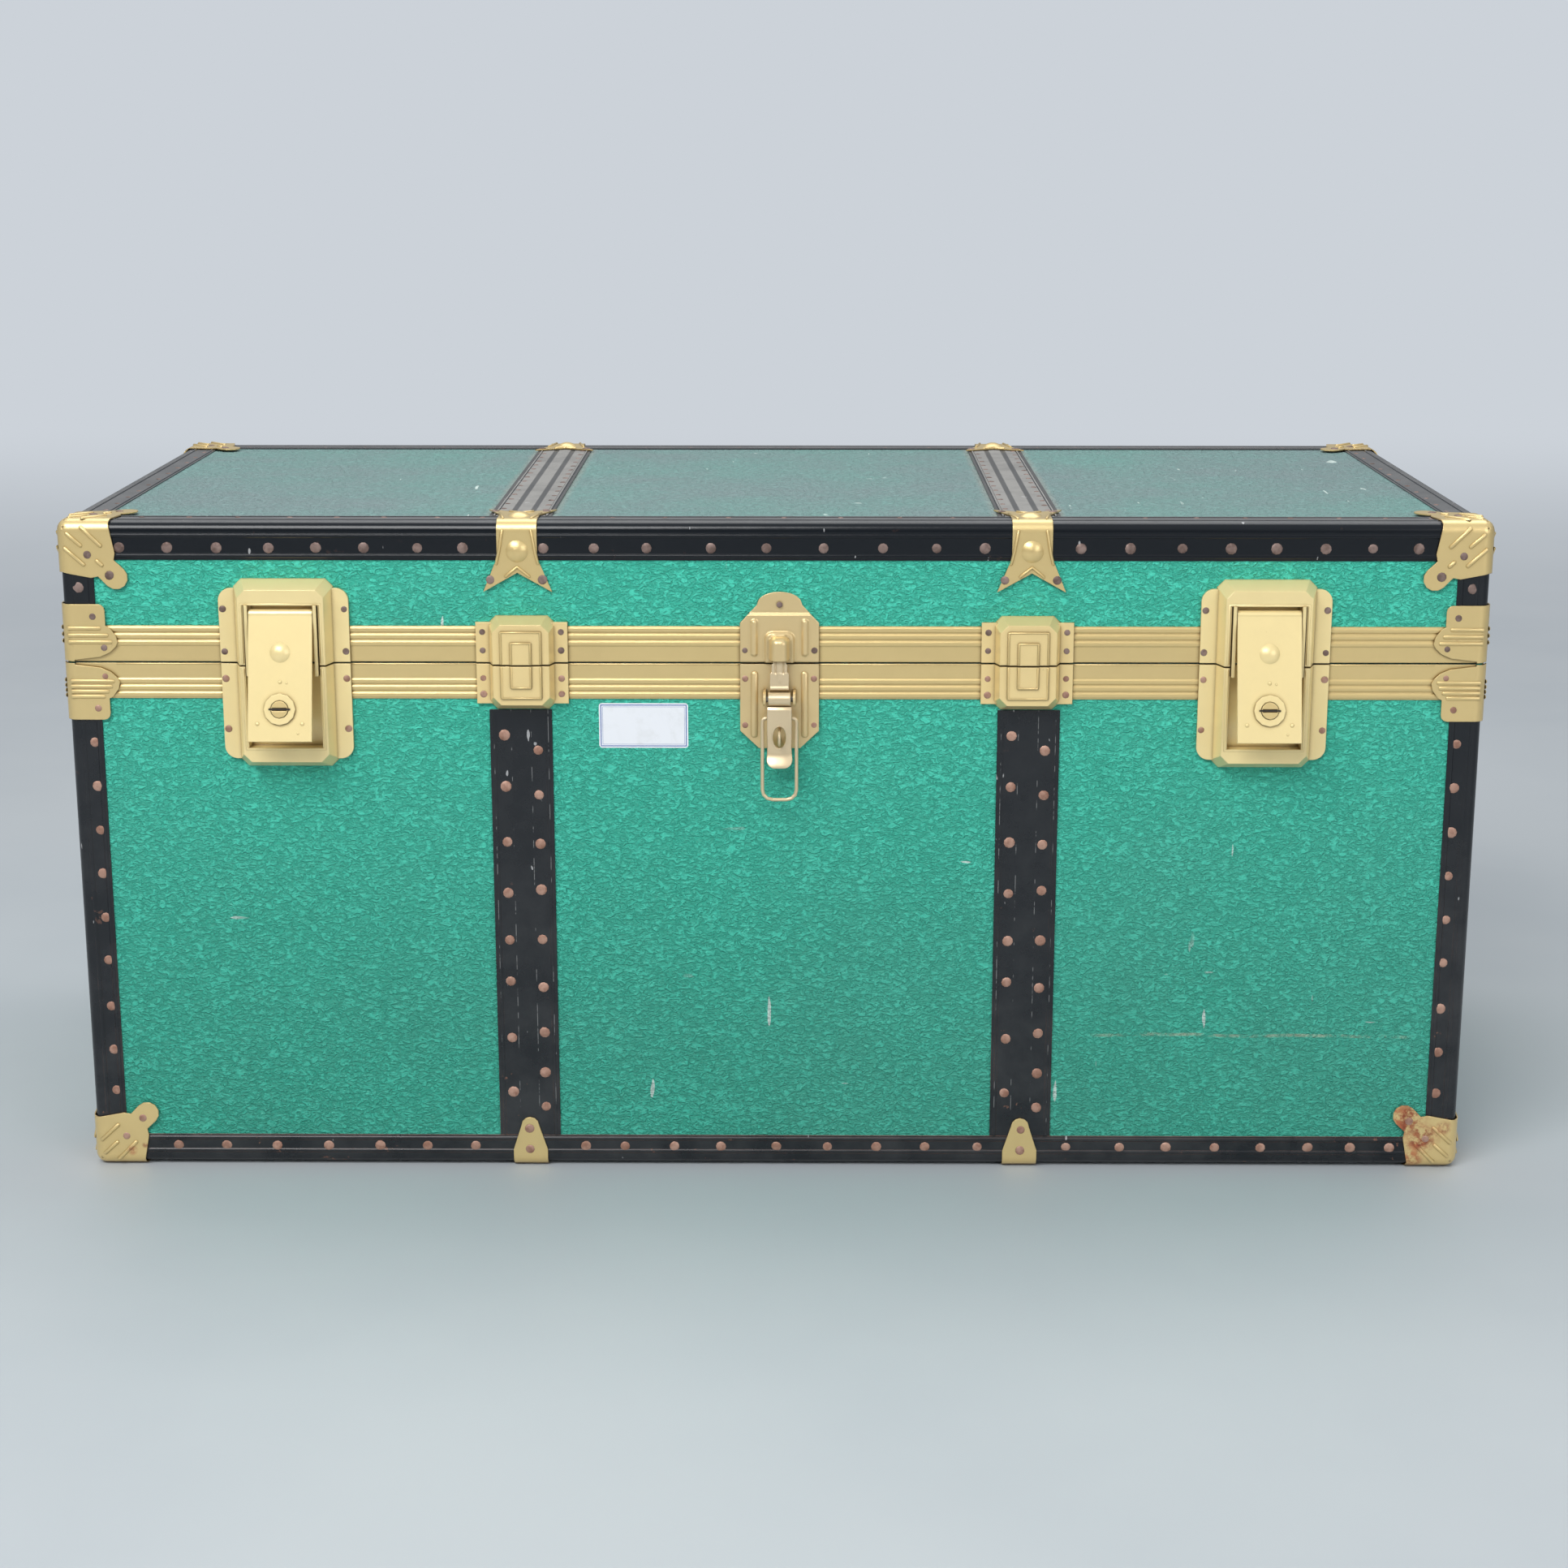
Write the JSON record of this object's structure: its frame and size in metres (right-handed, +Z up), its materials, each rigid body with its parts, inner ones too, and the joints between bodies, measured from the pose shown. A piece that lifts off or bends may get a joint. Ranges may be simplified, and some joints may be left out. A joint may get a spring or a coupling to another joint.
{
  "type": "storage chest",
  "caption": "Long storage trunk with a hinged lid, beaded edge bindings, capped corners, swinging flap locks, a draw hasp and end handles.",
  "frame": {"origin": "on the floor, under the middle of the outer box; the flaps stand out in front, so the panels' own middle is 11 mm behind it", "axes": "+X along the chest to its right, -Y out of the front, +Z up"},
  "size_m": [1.0406, 0.4867, 0.4806],
  "materials": {
    "green_fibre": "pebbled fibre paper over plywood",
    "bare_wood": "plain",
    "lining_paper": "matt",
    "black_enamel": "glossy, worn",
    "brass": "lacquered",
    "steel": "dull",
    "grip_leather": "worn"
  },
  "bodies": {
    "case": {"case_front_panel": "green_fibre", "case_back_panel": "green_fibre", "case_left_panel": "green_fibre", "case_right_panel": "green_fibre", "case_bottom_panel": "green_fibre", "case_lip": "bare_wood", "case_lining": "lining_paper", "case_bottom_bindings": "black_enamel", "case_corner_bindings": "black_enamel", "case_straps": "black_enamel", "case_rails": "brass", "case_corners": "brass", "case_rail_corners": "brass", "case_clamps": "brass", "hasp_case_plate": "brass", "dowel_sockets": "brass", "hinge_case_leaves": "brass", "left_handle_plates": "brass", "right_handle_plates": "brass", "left_lock_case_plate": "brass", "left_lock_keeper": "steel", "right_lock_case_plate": "brass", "right_lock_keeper": "steel", "hasp_staple": "steel", "hasp_pin": "steel", "hinge_pins": "steel"},
    "lid": {"lid_front_panel": "green_fibre", "lid_back_panel": "green_fibre", "lid_left_panel": "green_fibre", "lid_right_panel": "green_fibre", "lid_top_panel": "green_fibre", "lid_lining": "lining_paper", "lid_edge_bindings": "black_enamel", "lid_corner_bindings": "black_enamel", "lid_straps": "black_enamel", "lid_rails": "brass", "lid_corners": "brass", "lid_rail_corners": "brass", "lid_clamps": "brass", "left_lock_lid_plate": "brass", "right_lock_lid_plate": "brass", "hasp_lid_plate": "brass", "dowel_plugs": "brass", "hinge_lid_leaves": "brass"},
    "left_flap": {"left_lock_flap": "brass", "left_lock_case": "steel"},
    "right_flap": {"right_lock_flap": "brass", "right_lock_case": "steel"},
    "left_plug": {"left_lock_plug": "brass"},
    "right_plug": {"right_lock_plug": "brass"},
    "left_bolt": {"left_lock_bolt": "steel"},
    "right_bolt": {"right_lock_bolt": "steel"},
    "hasp_lever": {"hasp_lever": "brass"},
    "hasp_link": {"hasp_link": "brass"},
    "hasp_bail": {"hasp_bail": "brass"},
    "left_handle": {"left_handle_bail": "steel", "left_handle_grip": "grip_leather"},
    "right_handle": {"right_handle_bail": "steel", "right_handle_grip": "grip_leather"}
  },
  "joints": [
    {"name": "lid_hinge", "type": "hinge", "parent": "case", "child": "lid", "pos_m": [0, 0.2367, 0.377], "axis": [-1, 0, 0], "range_deg": [0, 100]},
    {"name": "lever_hinge", "type": "hinge", "parent": "case", "child": "hasp_lever", "pos_m": [0.0035, -0.2213, 0.3535], "axis": [-1, 0, 0], "range_deg": [0, 120]},
    {"name": "link_slide", "type": "slide", "parent": "case", "child": "hasp_link", "axis": [0, 0, 1], "range_m": [0, 0.0065]},
    {"name": "bail_hinge", "type": "hinge", "parent": "hasp_lever", "child": "hasp_bail", "pos_m": [0.0035, -0.2224, 0.34], "axis": [-1, 0, 0], "range_deg": [0, 60]},
    {"name": "left_handle_hinge", "type": "hinge", "parent": "case", "child": "left_handle", "pos_m": [-0.5103, 0.011, 0.24], "axis": [0, 1, 0], "range_deg": [0, 90]},
    {"name": "right_handle_hinge", "type": "hinge", "parent": "case", "child": "right_handle", "pos_m": [0.5103, 0.011, 0.24], "axis": [0, -1, 0], "range_deg": [0, 90]},
    {"name": "left_flap_hinge", "type": "hinge", "parent": "lid", "child": "left_flap", "pos_m": [-0.343, -0.2213, 0.4135], "axis": [-1, 0, 0], "range_deg": [-14, 96]},
    {"name": "left_key_turn", "type": "hinge", "parent": "left_flap", "child": "left_plug", "pos_m": [-0.343, -0.2404, 0.34973], "axis": [0, -0.9703, 0.2419], "range_deg": [0, 90]},
    {"name": "left_bolt_slide", "type": "slide", "parent": "left_flap", "child": "left_bolt", "axis": [1, 0, 0], "range_m": [0, 0.0048]},
    {"name": "right_flap_hinge", "type": "hinge", "parent": "lid", "child": "right_flap", "pos_m": [0.343, -0.2213, 0.4135], "axis": [-1, 0, 0], "range_deg": [-14, 96]},
    {"name": "right_key_turn", "type": "hinge", "parent": "right_flap", "child": "right_plug", "pos_m": [0.343, -0.2404, 0.34973], "axis": [0, -0.9703, 0.2419], "range_deg": [0, 90]},
    {"name": "right_bolt_slide", "type": "slide", "parent": "right_flap", "child": "right_bolt", "axis": [1, 0, 0], "range_m": [0, 0.0048]}
  ],
  "couplings": [
    {"joint": "link_slide", "follows": "lever_hinge", "m_per_rad": 0.003},
    {"joint": "left_bolt_slide", "follows": "left_key_turn", "m_per_rad": 0.003},
    {"joint": "right_bolt_slide", "follows": "right_key_turn", "m_per_rad": 0.003}
  ]
}
